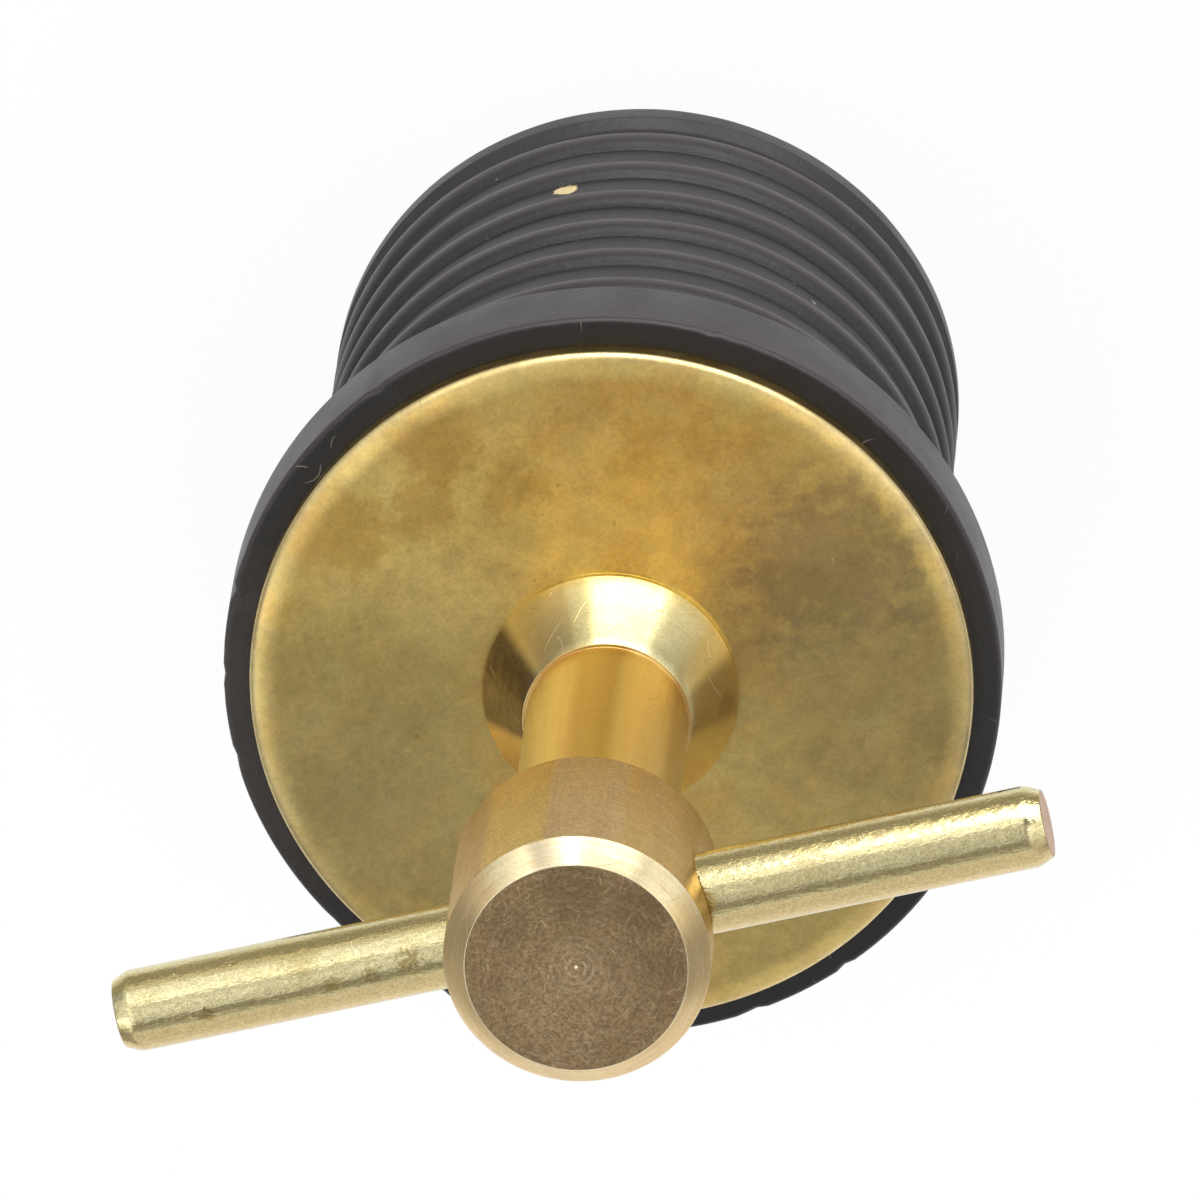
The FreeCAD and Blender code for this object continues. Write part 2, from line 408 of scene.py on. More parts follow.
brassLooks = {
    "washerBrass": {
        "wrap": "flat",
        "colour": (0.81, 0.605, 0.2), "tarnish": (0.45, 0.335, 0.13), "warm": (0.74, 0.43, 0.11),
        "bright": (0.98, 0.9, 0.62),
        "patchSize": 3.0, "patchContrast": 0.09, "patchOffset": 3.1, "patchAmount": 0.42,
        "warmAmount": 0.55, "mottleSize": 1.1, "mottleContrast": 0.15, "fleckSize": 0.16,
        "grainFineness": 3.0, "grainHeight": 6.0, "scratchSpacing": 0.8, "scratchShare": 0.45,
        "scratchWidth": 0.035, "scratchShine": 0.12, "scratchBend": 0.35, "scratchDepth": 0.0,
        "dotShare": 0.25, "dotRadius": 0.1, "dotAmount": 0.6, "dotDepth": 0.0, "speckShare": 0.25,
        "roughness": 0.29,
        # painted highlight along the rolled edge
        "paintedRings": [(31.74, 0.24, 0.4, (0.98, 0.87, 0.55))],
        "stainsAndPaintedLight": [
            # painted light: the golden glow that the cone reflects onto the washer's upper side
            ((0.5, 8.0, 32.06), 4.8, 0.6, 0.3, 0.45, (0.98, 0.73, 0.25)),
            ((-5.5, 7.8, 32.06), 4.8, 0.6, 0.3, 0.6, (0.96, 0.76, 0.29)),
            ((6.2, 5.0, 32.06), 3.0, 0.6, 0.5, 0.5, (0.92, 0.64, 0.22)),
            ((11.0, 7.0, 32.06), 3.0, 0.6, 0.4, 0.5, (0.9, 0.66, 0.24)),
            # painted shade darkening the left and right sides, partly olive tarnish
            ((-10.6, 0.6, 32.06), 5.0, 0.6, 0.4, 0.55, (0.5, 0.415, 0.17)),
            ((-11.5, -4.0, 32.06), 4.5, 0.6, 0.4, 0.5, (0.48, 0.39, 0.175)),
            ((10.5, -3.0, 32.06), 5.5, 0.6, 0.5, 0.6, (0.48, 0.37, 0.155)),
            ((9.4, 3.6, 32.06), 4.6, 0.6, 0.6, 0.35, (0.46, 0.32, 0.15)),
            ((9.8, 3.3, 32.06), 2.9, 0.45, 1.1, 0.45, (0.38, 0.27, 0.14)),
            # orange-brown tarnish patches on the upper side, then small olive spots
            ((-4.2, 11.6, 32.06), 1.6, 0.4, 0.5, 0.75, (0.62, 0.36, 0.09)),
            ((-8.9, 9.0, 32.06), 1.9, 0.45, 0.6, 0.7, (0.62, 0.38, 0.1)),
            ((-5.4, 9.2, 32.06), 1.3, 0.45, 0.6, 0.65, (0.6, 0.37, 0.1)),
            ((-1.8, 9.2, 32.06), 1.1, 0.5, 0.7, 0.55, (0.64, 0.4, 0.11)),
            ((1.6, 12.2, 32.06), 1.3, 0.5, 0.7, 0.45, (0.62, 0.42, 0.14)),
            ((-11.9, 3.9, 32.06), 1.3, 0.5, 0.8, 0.4, (0.4, 0.29, 0.1)),
            ((-8.2, -6.4, 32.06), 1.5, 0.5, 0.9, 0.45, (0.38, 0.29, 0.12)),
            ((12.3, -4.6, 32.06), 1.2, 0.5, 0.9, 0.4, (0.36, 0.27, 0.12)),
            ((8.0, -5.6, 32.06), 1.4, 0.5, 0.9, 0.4, (0.4, 0.29, 0.12)),
            # painted light, making the lower side paler
            ((6.0, -10.5, 32.06), 4.5, 0.6, 0.3, 0.7, (0.74, 0.57, 0.21)),
        ],
    },
    "headSideBrass": {
        "colour": (0.75, 0.54, 0.235), "tarnish": (0.48, 0.31, 0.14), "warm": (0.78, 0.5, 0.19),
        "bright": (0.98, 0.85, 0.6),
        "patchSize": 0.8, "patchContrast": 0.1, "patchOffset": 7.7, "patchStretch": (1.0, 1.0, 0.15),
        "mottleSize": 0.22, "mottleAmount": 0.4, "fleckAmount": 0.3, "linePitch": 0.13, "lineTint": 0.5,
        "lineHeight": 8.0, "lineWander": 3.0, "lineGaps": 0.8, "grainFineness": 9.0, "grainHeight": 7.0,
        "scratchSpacing": 1.1, "scratchShare": 0.3, "edge": (0.95, 0.86, 0.66),
        # painted reflections and painted shade down the head's side, darkest at its right edge
        "sides": [
            (74, 17, 2, 0.7, (0.66, 0.48, 0.27)),
            (106, 15, 3, 0.9, (0.74, 0.52, 0.16)),
            (143, 21, 4, 0.8, (0.52, 0.355, 0.15)),
            (42, 14, 4, 0.75, (0.6, 0.41, 0.16)),
            (-2, 31, 6, 0.85, (0.46, 0.31, 0.12)),
        ],
    },
    "headFaceBrass": {
        "wrap": "flat",
        "colour": (0.46, 0.32, 0.172), "tarnish": (0.27, 0.18, 0.095), "warm": (0.45, 0.28, 0.145),
        "bright": (0.98, 0.82, 0.58),
        "patchSize": 1.5, "patchContrast": 0.1, "patchOffset": 1.3, "patchAmount": 0.55,
        "mottleAmount": 0.5, "mottleContrast": 0.13, "swirl": 2.0, "fleckSize": 0.12, "fleckAmount": 0.4,
        "linePitch": 0.13, "lineTint": 0.45, "lineHeight": 6.0, "lineWander": 3.0, "lineGaps": 1.0,
        "grainHeight": 10.0, "scratchSpacing": 0.42, "scratchShare": 0.5, "scratchWidth": 0.02,
        "scratchShine": 0.35, "scratchBend": 0.35, "dotSpacing": 0.5, "dotShare": 0.25, "dotRadius": 0.08,
        "dotAmount": 0.8, "speckShare": 0.3, "roughness": 0.4, "centreRings": 0.3, "stainSize": 0.8,
        "stainsAndPaintedLight": [
            ((0.6, 3.3, 58.75), 1.4, 0.6, 0.4, 0.6, (0.21, 0.16, 0.068)),
            ((3.1, 1.8, 58.75), 1.0, 0.6, 0.35, 0.65, (0.2, 0.15, 0.065)),
            ((-2.1, 2.3, 58.75), 0.9, 0.6, 0.35, 0.5, (0.24, 0.17, 0.08)),
            ((3.3, -0.6, 58.75), 0.9, 0.6, 0.35, 0.5, (0.24, 0.17, 0.08)),
            ((-0.6, -1.6, 58.75), 2.0, 0.6, 0.4, 0.5, (0.64, 0.45, 0.26)),
        ],
    },
    "chamferBrass": {
        "colour": (0.86, 0.65, 0.315), "tarnish": (0.66, 0.45, 0.23), "warm": (0.84, 0.59, 0.32),
        "bright": (0.98, 0.9, 0.7),
        "patchSize": 2.2, "patchOffset": 2.2, "patchAmount": 0.35, "mottleSize": 0.2,
        "mottleAmount": 0.25, "linePitch": 0.16, "lineTint": 1.1, "lineHeight": 5.0, "lineWander": 1.0,
        "lineGaps": 0.8, "grainFineness": 8.0, "grainHeight": 3.0, "scratchShare": 0.2, "dotShare": 0.06,
        "roughness": 0.27,
        # painted highlights along the chamfer's upper and lower edges
        "paintedRings": [
            (58.76, 0.07, 0.9, (1.0, 0.93, 0.66)),
            (57.92, 0.06, 0.6, (0.98, 0.86, 0.55)),
        ],
        # painted highlight over the chamfer's upper arc, with painted shade in darker panels and towards
        # its ends
        "sides": [
            (70, 50, 6, 0.8, (0.98, 0.88, 0.55)),
            (58, 16, 6, 0.85, (0.44, 0.38, 0.24)),
            (90, 7, 4, 0.9, (0.45, 0.39, 0.27)),
            (8, 12, 8, 0.5, (0.62, 0.46, 0.22)),
            (148, 13, 8, 0.5, (0.6, 0.44, 0.22)),
        ],
    },
    "neckBrass": {
        "colour": (0.92, 0.77, 0.42), "tarnish": (0.74, 0.5, 0.19), "warm": (0.88, 0.62, 0.24),
        "bright": (1.0, 0.88, 0.5),
        "patchSize": 1.6, "patchOffset": 9.4, "patchAmount": 0.3, "patchStretch": (1.0, 1.0, 0.1),
        "mottleSize": 0.4, "mottleAmount": 0.06, "fleckAmount": 0.04, "linePitch": 0.12, "lineTint": 0.25,
        "lineHeight": 4.0, "lineWander": 1.6, "grainStretch": (1.0, 1.0, 0.12), "grainFineness": 3.0,
        "scratchSpacing": 1.6, "scratchShare": 0.15, "dotShare": 0.04, "speckShare": 0.05,
        "roughness": 0.24,
        # painted shade, warmed orange, in the corner where the neck meets the foot
        "paintedRings": [(35.1, 1.1, 0.75, (0.62, 0.34, 0.09))],
        # painted reflections and painted shade down the neck, darkest at its right edge
        "sides": [
            (81, 14, 7, 0.7, (0.7, 0.5, 0.17)),
            (0, 20, 9, 0.6, (0.5, 0.31, 0.1)),
            (30, 8, 6, 0.4, (1.0, 0.8, 0.38)),
            (45, 12, 8, 0.6, (1.0, 0.82, 0.42)),
            (144, 12, 8, 0.4, (0.86, 0.68, 0.3)),
        ],
    },
    "footBrass": {
        "colour": (0.91, 0.765, 0.37), "tarnish": (0.64, 0.48, 0.2), "warm": (0.84, 0.6, 0.22),
        "bright": (1.0, 0.92, 0.7),
        "patchSize": 2.6, "patchOffset": 5.8, "patchAmount": 0.25, "mottleSize": 0.35,
        "mottleAmount": 0.15, "linePitch": 0.22, "lineTint": 0.2, "lineHeight": 3.0, "lineWander": 1.0,
        "grainFineness": 1.4, "grainHeight": 1.5, "scratchSpacing": 1.2, "scratchShine": 0.6,
        "dotSpacing": 0.6, "dotShare": 0.12, "roughness": 0.18, "roughRise": 0.05, "stainSize": 0.6,
        # painted reflections on the foot's cone: a dark reflected patch to the left and painted highlights
        # towards the top
        "sides": [
            (112, 15, 8, 0.75, (0.56, 0.42, 0.17)),
            (157, 25, 5, 0.95, (0.1, 0.068, 0.05)),
            (196, 13, 5, 0.6, (0.86, 0.56, 0.26)),
            (-9, 15, 5, 0.75, (0.36, 0.28, 0.14)),
            (-45, 18, 6, 0.6, (0.62, 0.44, 0.22)),
            (38, 12, 6, 0.8, (1.0, 0.93, 0.52)),
            (90, 6, 4, 0.6, (1.0, 0.9, 0.45)),
        ],
        "stainsAndPaintedLight": [
            ((-3.6, -2.2, 32.9), 1.3, 0.5, 0.3, 0.5, (0.66, 0.38, 0.12)),
            ((4.51, -1.2, 33.0), 0.5, 0.3, 0.5, 0.6, (0.22, 0.15, 0.06)),
        ],
    },
    "rodBrass": {
        "wrap": "bar",
        "colour": (0.91, 0.83, 0.49), "tarnish": (0.52, 0.43, 0.18), "warm": (0.86, 0.71, 0.33),
        "bright": (1.0, 0.96, 0.75),
        "patchSize": 1.8, "patchOffset": 4.4, "patchAmount": 0.3, "patchStretch": (0.3, 1.0, 1.0),
        "mottleSize": 0.2, "fleckSize": 0.09, "fleckAmount": 0.3, "grainStretch": (0.9, 2.4, 2.4),
        "grainFineness": 2.4, "grainHeight": 19.0, "scratchSpacing": 0.5, "scratchShare": 0.5,
        "scratchWidth": 0.018, "scratchShine": 0.5, "scratchDepth": 2.0, "dotSpacing": 0.36,
        "dotShare": 0.5, "dotRadius": 0.12, "dotDepth": 30.0, "speckShare": 0.35, "speckRadius": 0.07,
        "roughness": 0.13, "stainSize": 0.22,
        # painted reflection bands along the bar
        "sides": [
            (68, 14, 5, 0.7, (0.7, 0.53, 0.2)),
            (-3, 6, 3, 0.5, (0.62, 0.48, 0.19)),
            (-40, 28, 6, 0.7, (0.83, 0.6, 0.28)),
        ],
        "stainsAndPaintedLight": [
            ((-6.7, 0.4, 55.6), 0.4, 0.4, 1.4, 0.8, (0.4, 0.29, 0.1)),
            ((-8.2, 0.1, 55.7), 0.28, 0.4, 1.4, 0.7, (0.4, 0.29, 0.1)),
            ((-14.8, -0.14, 55.69), 0.28, 0.3, 1.0, 0.9, (0.36, 0.24, 0.08)),
            ((-9.8, 0.08, 55.7), 0.3, 0.4, 1.0, 0.7, (0.44, 0.33, 0.12)),
            ((-10.8, 1.12, 55.23), 0.6, 0.6, 1.0, 0.5, (0.5, 0.38, 0.14)),
            ((9.2, 0.9, 55.4), 0.5, 0.6, 1.2, 0.4, (0.55, 0.42, 0.16)),
        ],
    },
    "sawnEndBrass": {
        "wrap": "bar",
        "colour": (0.66, 0.44, 0.29), "tarnish": (0.45, 0.28, 0.17), "warm": (0.62, 0.38, 0.24),
        "bright": (0.9, 0.7, 0.5),
        "patchSize": 1.2, "patchOffset": 6.1, "mottleSize": 0.2, "mottleAmount": 0.5,
        "grainStretch": (1.0, 6.0, 0.6), "grainHeight": 20.0, "scratchSpacing": 0.6, "dotSpacing": 0.4,
        "roughness": 0.38,
    },
    "threadBrass": {
        "colour": (0.78, 0.6, 0.28), "tarnish": (0.42, 0.3, 0.12), "warm": (0.7, 0.48, 0.18),
        "bright": (0.95, 0.8, 0.5),
        "patchSize": 2.0, "patchOffset": 8.1, "mottleSize": 0.3, "mottleAmount": 0.4, "grainHeight": 8.0,
    },
    "nutBrass": {
        "colour": (0.78, 0.6, 0.27), "tarnish": (0.47, 0.34, 0.15), "warm": (0.72, 0.48, 0.17),
        "bright": (0.98, 0.84, 0.5),
        "patchSize": 4.5, "patchContrast": 0.18, "patchOffset": 0.7, "patchAmount": 0.55,
        "mottleAmount": 0.4, "linePitch": 0.2, "lineTint": 0.6, "lineHeight": 16.0, "lineWander": 1.0,
        "lineGaps": 0.4, "grainHeight": 7.0, "scratchSpacing": 1.6, "dotSpacing": 0.8, "dotShare": 0.3,
        "dotRadius": 0.14, "dotAmount": 0.6, "roughness": 0.34,
    },
}


def paintSideReflections(colour, look, centred, across):
    # painted reflections and painted shade: colours laid on towards some directions round the axis,
    # standing in for how the studio's light falls
    onBar = look["wrap"] == "bar"
    for azimuth, width, edge, amount, paintedSideColour in look["sides"]:
        first, second = cosOf(azimuth), sinOf(azimuth)
        aim = (0.0, second, first) if onBar else (first, second, 0.0)
        facing = ratio(vectorOf("DOT_PRODUCT", centred, aim), across)
        mask = rangeOf(facing, cosOf(width + edge), cosOf(width - edge), 0.0, amount, True)
        colour = coated(colour, mask, paintedSideColour)
    return colour


def layStainsAndPaintedLight(colour, look, place, level):
    ragged = noiseOf(place, 1 / look["stainSize"], 4.0, 0.65) if look["stainsAndPaintedLight"] else None
    for centre, radius, softness, raggedness, amount, patchColour in look["stainsAndPaintedLight"]:
        values = {"Vector": place, "Centre": centre, "Radius": radius, "Softness": softness,
                  "Raggedness": raggedness, "Noise": ragged}
        colour = coated(colour, useGroup(placedPatch, values), patchColour, amount)
    # the rings are painted highlights along edges and painted shade in corners
    for height, reach, amount, paintedRingColour in look["paintedRings"]:
        off = mathOf("ABSOLUTE", minus(level, height))
        colour = coated(colour, rangeOf(off, 0.0, reach, amount, 0.0, True), paintedRingColour)
    return colour


def patchesOf(vector, size, contrast, offset, detail, swirl=0.0):
    return useGroup(tarnishPatches, {
        "Vector": vector, "Size": size, "Contrast": contrast, "Offset": offset, "Swirl": swirl,
        "Detail": detail,
    })


def scratchesOf(vector, look, spacing, share, reach, side):
    return useGroup(hairScratches, {
        "Vector": vector, "Spacing": look["scratchSpacing"] * spacing,
        "Share": look["scratchShare"] * share, "Width": look["scratchWidth"],
        "Length": look["scratchSpacing"] * reach, "Bend": look["scratchBend"] * side,
    })


def makeBrass(name, given):
    look = {**plainBrass, **given}
    material, shader, place = startMaterial(name)
    laid = unrolled(place, look["wrap"])
    onBar = look["wrap"] == "bar"
    centred = vectorOf("SUBTRACT", place, (0.0, 0.0, barLevel if onBar else 0.0))
    parts = partsOf(centred)
    across = lengthOf(parts[1], parts[2]) if onBar else lengthOf(parts[0], parts[1])
    stretched = vectorOf("MULTIPLY", place, look["patchStretch"])
    size, offset = look["patchSize"], look["patchOffset"]
    # the four kinds of patch are one effect, each with an offset of its own
    patches = patchesOf(stretched, size, look["patchContrast"], offset, detail=4.0)
    mottle = patchesOf(place, look["mottleSize"], look["mottleContrast"], offset + 20, 3.0, look["swirl"])
    warmth = patchesOf(stretched, size * 0.7, look["warmContrast"], offset + 40, detail=2.0)
    flecks = patchesOf(place, look["fleckSize"], look["fleckContrast"], offset + 60, detail=1.0)
    aside = vectorOf("ADD", laid, (7.3, 3.1, 0.0))
    pale = scratchesOf(laid, look, spacing=1.0, share=1.0, reach=0.6, side=1)
    deep = scratchesOf(aside, look, spacing=0.7, share=0.8, reach=0.4, side=-1)
    dots = useGroup(scatteredDots, {
        "Vector": place, "Spacing": look["dotSpacing"], "Pit Share": look["dotShare"],
        "Pit Radius": look["dotRadius"], "Speck Share": look["speckShare"],
        "Speck Radius": look["speckRadius"],
    })
    pits = mathOf("MAXIMUM", dots, 0.0)
    glintSpecks = times(dots, -1.0, clamp=True)
    grain = useGroup(drawnGrain, {
        "Vector": place, "Stretch": look["grainStretch"], "Fineness": look["grainFineness"],
    })
    tarnish, bright = look["tarnish"], look["bright"]
    dark = [part * look["darkShare"] for part in tarnish]

    dull = times(patches, look["patchAmount"])
    colour = mixColour(dull, (*look["colour"], 1), (*tarnish, 1))
    colour = coated(colour, warmth, look["warm"], look["warmAmount"])
    colour = layStainsAndPaintedLight(colour, look, place, parts[2])
    colour = paintSideReflections(colour, look, centred, across)
    colour = coated(colour, mottle, tarnish, look["mottleAmount"])
    colour = coated(colour, flecks, dark, look["fleckAmount"])
    height = times(grain, look["grainHeight"])
    if look["lineHeight"]:
        lines = useGroup(turnedLines, {
            "Vector": place, "Pitch": look["linePitch"], "Wander": look["lineWander"],
            "Gaps": look["lineGaps"],
        })
        for share, tint in ((look["darkLines"], tarnish), (look["paleLines"], bright)):
            colour = coated(colour, times(lines, look["lineTint"] * share, clamp=True), tint)
        height = plus(height, times(lines, look["lineHeight"]))
    if look["centreRings"]:
        # rings that the parting tool leaves round the middle of the head's face
        wave = mathOf("SINE", times(across, 2 * math.pi / look["centreRings"]))
        inner = rangeOf(across, look["ringsFrom"], look["ringsTo"], 1.0, 0.0)
        rings = times(wave, times(inner, mottle))
        colour = coated(colour, times(rings, look["ringTint"], clamp=True), bright)
        height = plus(height, times(rings, look["ringHeight"]))
    colour = coated(colour, pale, bright, look["scratchShine"])
    colour = coated(colour, deep, dark, look["scratchShine"])
    colour = coated(colour, pits, dark, look["dotAmount"])
    # the pale specks are painted glints
    colour = coated(colour, glintSpecks, bright, look["speckAmount"])
    plug(colour, shader.inputs["Base Color"])

    shader.inputs["Metallic"].default_value = 1.0
    shader.inputs["Specular Tint"].default_value = (*look["edge"], 1)
    rough = plus(times(patches, look["roughRise"]), look["roughness"])
    rough = plus(rough, times(grain, look["grainRough"]))
    rough = mathOf("MAXIMUM", rough, look["leastRoughness"], clamp=True)
    plug(rough, shader.inputs["Roughness"])
    for mask, depth in ((pale, "scratchDepth"), (deep, "scratchDepth"), (pits, "dotDepth")):
        # a depth of nought adds no node
        if look[depth]:
            height = minus(height, times(mask, look[depth]))
    addBump(shader, height)
    return material


brass = {name: makeBrass(name, look) for name, look in brassLooks.items()}
print("brass finishes made")

# Rubber finish

rubberLook = {
    # the crest colour is a painted highlight on the ribs' crests and a painted sheen on the flange's side,
    # and it also tints fine patches; corner is painted shade at the ribs' feet
    "colour": (0.0175, 0.013, 0.0133), "crest": (0.046, 0.0368, 0.0373), "corner": (0.007, 0.006, 0.006),
    # face is painted shade on the flange's face
    "face": (0.0062, 0.0046, 0.0044), "dust": (0.36, 0.34, 0.32), "fleck": (0.66, 0.54, 0.27),
    "patches": {"Size": 3.2, "Contrast": 0.2, "Offset": 11.0, "Detail": 3.0},
    "fine": {"Size": 0.3, "Contrast": 0.18, "Offset": 2.0, "Detail": 1.0},
    "dots": {"Spacing": 0.8, "Pit Share": 0.1, "Pit Radius": 0.07, "Speck Share": 0.0},
    "hairs": {"Spacing": 2.0, "Share": 0.45, "Width": 0.035, "Length": 0.8, "Bend": 0.9},
    "crestShine": 0.5, "crestPatches": 0.4, "cornerShadeAmount": 0.75, "fineAmount": 0.12, "dotAmount": 0.7,
    "faceShadeAmount": 0.9, "hairAmount": 0.8, "faceLightAmount": 0.8, "crumbAmount": 0.6,
    # painted sheen: the flange's side is painted paler between these depths under its face
    "sheenFrom": 3.2, "sheenTo": 0.1, "sheenAmount": 0.55, "sheenPatches": 0.3,
    "roughness": 0.4, "roughRise": 0.1, "grainFineness": 5.0, "stainFineness": 2.0,
    "grainHeight": 22.0, "dotHeight": 12.0, "chipHeight": 60.0,
    # shares of half a rib's foot, and how far upwards the flange's face looks
    "crestReach": 0.75, "cornerShadeReach": 0.4, "faceFrom": 0.8, "faceTo": 0.95,
    # painted light on the flange's face, stronger to the left, as (centre, radius, softness, raggedness,
    # colour)
    "faceLight": [
        ((-14.6, 0.5, 30.9), 7.0, 0.6, 0.3, (0.036, 0.029, 0.023)),
        ((14.9, -1.5, 30.9), 6.0, 0.6, 0.3, (0.018, 0.015, 0.013)),
    ],
    # pale crumbs, and a brass chip left in the moulding, as (centre, radius, softness, raggedness)
    "crumbs": [
        ((3.36, 12.04, 19.33), 0.16, 0.3, 0.3),
        ((9.62, 7.98, 15.51), 0.18, 0.3, 0.3),
        ((-8.1, 12.9, 28.9), 0.12, 0.3, 0.3),
    ],
    "chip": ((0.0, 12.5, 9.0), 0.48, 0.15, 0.25),
}


def makeRubber(look):
    material, shader, place = startMaterial("mouldedRubber")
    patches = useGroup(tarnishPatches, {"Vector": place, **look["patches"]})
    fine = useGroup(tarnishPatches, {"Vector": place, **look["fine"]})
    dots = useGroup(scatteredDots, {"Vector": place, **look["dots"]})
    hairs = useGroup(hairScratches, {"Vector": place, **look["hairs"]})
    grain = useGroup(drawnGrain, {"Vector": place, "Fineness": look["grainFineness"]})
    ragged = noiseOf(place, look["stainFineness"], detail=3.0, roughness=0.65)

    def patchAt(centre, radius, softness, raggedness):
        return useGroup(placedPatch, {
            "Vector": place, "Centre": centre, "Radius": radius, "Softness": softness,
            "Raggedness": raggedness, "Noise": ragged,
        })

    # the ridge tree leaves 0 on a rib's crest and 1 at its foot
    away = addNode("ShaderNodeAttribute", attribute_name="ridgeAway").outputs["Fac"]
    # painted highlight on each rib's crest, and painted shade in the corners at its feet
    onCrest = rangeOf(away, 0.0, look["crestReach"], 1.0, 0.0, smooth=True)
    fromFoot = mathOf("ABSOLUTE", minus(away, 1.0))
    corner = rangeOf(fromFoot, 0.0, look["cornerShadeReach"], 1.0, 0.0, smooth=True)
    shineOnCrest = plus(times(patches, look["crestPatches"]), look["crestShine"])
    colour = mixColour(times(onCrest, shineOnCrest), (*look["colour"], 1), (*look["crest"], 1))
    colour = coated(colour, corner, look["corner"], look["cornerShadeAmount"])
    colour = coated(colour, fine, look["crest"], look["fineAmount"])
    colour = coated(colour, dots, look["dust"], look["dotAmount"])
    # painted shade: the flange's face is painted darker where it looks upwards
    normal = addNode("ShaderNodeNewGeometry").outputs["Normal"]
    topOnly = rangeOf(partsOf(normal)[2], look["faceFrom"], look["faceTo"])
    colour = coated(colour, topOnly, look["face"], look["faceShadeAmount"])
    # painted sheen on the flange's side, in patches
    sheenEnd = flangeFace - look["sheenTo"]
    front = rangeOf(partsOf(place)[2], flangeFace - look["sheenFrom"], sheenEnd)
    sheenBand = times(minus(1.0, topOnly), front)
    patchy = plus(times(patches, look["sheenPatches"]), look["sheenAmount"])
    colour = coated(colour, times(sheenBand, patchy), look["crest"])
    colour = coated(colour, times(hairs, topOnly), look["dust"], look["hairAmount"])
    # painted light on the flange's face
    for *stain, faceLightColour in look["faceLight"]:
        colour = coated(colour, times(patchAt(*stain), topOnly), faceLightColour, look["faceLightAmount"])
    for stain in look["crumbs"]:
        colour = coated(colour, patchAt(*stain), look["dust"], look["crumbAmount"])
    chip = patchAt(*look["chip"])
    colour = coated(colour, chip, look["fleck"])
    plug(colour, shader.inputs["Base Color"])
    rough = plus(times(patches, look["roughRise"]), look["roughness"])
    plug(rough, shader.inputs["Roughness"])
    height = plus(times(grain, look["grainHeight"]), times(dots, look["dotHeight"]))
    addBump(shader, plus(height, times(chip, look["chipHeight"])))
    return material


mouldedRubber = makeRubber(rubberLook)
print("rubber finish made")

# Mesh helpers. A corner is (radius, height, rounding), or has the number of sides of a polygon after them.


def roundedOutline(corners, closed, steps=6):
    rows = []
    for index, corner in enumerate(corners):
        here = Vector(corner[:2])
        sides = corner[3] if len(corner) > 3 else 0
        atEnd = not closed and index in (0, len(corners) - 1)
        if atEnd or corner[2] == 0:
            rows.append((here.x, here.y, sides))
            continue
        before = (Vector(corners[index - 1][:2]) - here).normalized()
        after = (Vector(corners[(index + 1) % len(corners)][:2]) - here).normalized()
        half = before.angle(after) / 2
        centre = here + (before + after).normalized() * corner[2] / math.sin(half)
        first = here + before * corner[2] / math.tan(half) - centre
        last = here + after * corner[2] / math.tan(half) - centre
        sweep = first.angle(last)
        for step in range(steps + 1):
            share = step / steps
            lead, trail = math.sin((1 - share) * sweep), math.sin(share * sweep)
            mixed = (first * lead + last * trail) / math.sin(sweep)
            rows.append((centre.x + mixed.x, centre.y + mixed.y, sides))
    return rows


def fineRows(rows, low, high, spacing, closed):
    # adds rows on the long upright stretches, where ridges will be raised
    slack = 0.01
    result = []
    count = len(rows) if closed else len(rows) - 1
    for index in range(count):
        first = rows[index]
        last = rows[(index + 1) % len(rows)]
        result.append(first)
        upright = abs(first[0] - last[0]) < slack / 10 and min(first[1], last[1]) >= low - slack
        if not upright or max(first[1], last[1]) > high + slack:
            continue
        pieces = int(abs(last[1] - first[1]) / spacing)
        for piece in range(1, pieces):
            share = piece / pieces
            result.append((first[0], first[1] + (last[1] - first[1]) * share, first[2]))
    if not closed:
        result.append(rows[-1])
    return result


def ringRadius(radius, sides, turn):
    if not sides:
        return radius
    wedge = 2 * math.pi / sides
    return radius / math.cos(turn % wedge - wedge / 2)


def turnedObject(name, rows, closed, segments, axis="Z"):
    mesh = bpy.data.meshes.new(name)
    build = bmesh.new()
    rings = []
    for radius, height, sides in rows:
        # a row on the axis is a single point
        if radius < 0.0001:
            rings.append([build.verts.new((0, 0, height * mm))])
            continue
        ring = []
        for segment in range(segments):
            turn = 2 * math.pi * segment / segments
            out = ringRadius(radius, sides, turn) * mm
            ring.append(build.verts.new((out * math.cos(turn), out * math.sin(turn), height * mm)))
        rings.append(ring)
    pairs = list(zip(rings, rings[1:]))
    if closed:
        pairs.append((rings[-1], rings[0]))
    for first, last in pairs:
        for segment in range(segments):
            after = (segment + 1) % segments
            around = [first[segment % len(first)], first[after % len(first)],
                      last[after % len(last)], last[segment % len(last)]]
            corners = []
            for vertex in around:
                if vertex not in corners:
                    corners.append(vertex)
            build.faces.new(corners)
    bmesh.ops.recalc_face_normals(build, faces=build.faces)
    if axis == "X":
        ontoX = Matrix.Rotation(math.pi / 2, 3, "Y")
        bmesh.ops.rotate(build, verts=build.verts, cent=atOrigin, matrix=ontoX)
    build.to_mesh(mesh)
    build.free()
    piece = bpy.data.objects.new(name, mesh)
    scene.collection.objects.link(piece)
    return piece


def smoothPiece(piece, sharpAngle):
    piece.data.shade_smooth()
    piece.data.set_sharp_from_angle(angle=math.radians(sharpAngle))


def bakeModifiers(piece):
    bpy.context.view_layer.update()
    finished = piece.evaluated_get(bpy.context.evaluated_depsgraph_get())
    mesh = bpy.data.meshes.new_from_object(finished)
    piece.modifiers.clear()
    old = piece.data
    piece.data = mesh
    mesh.name = piece.name
    bpy.data.meshes.remove(old)


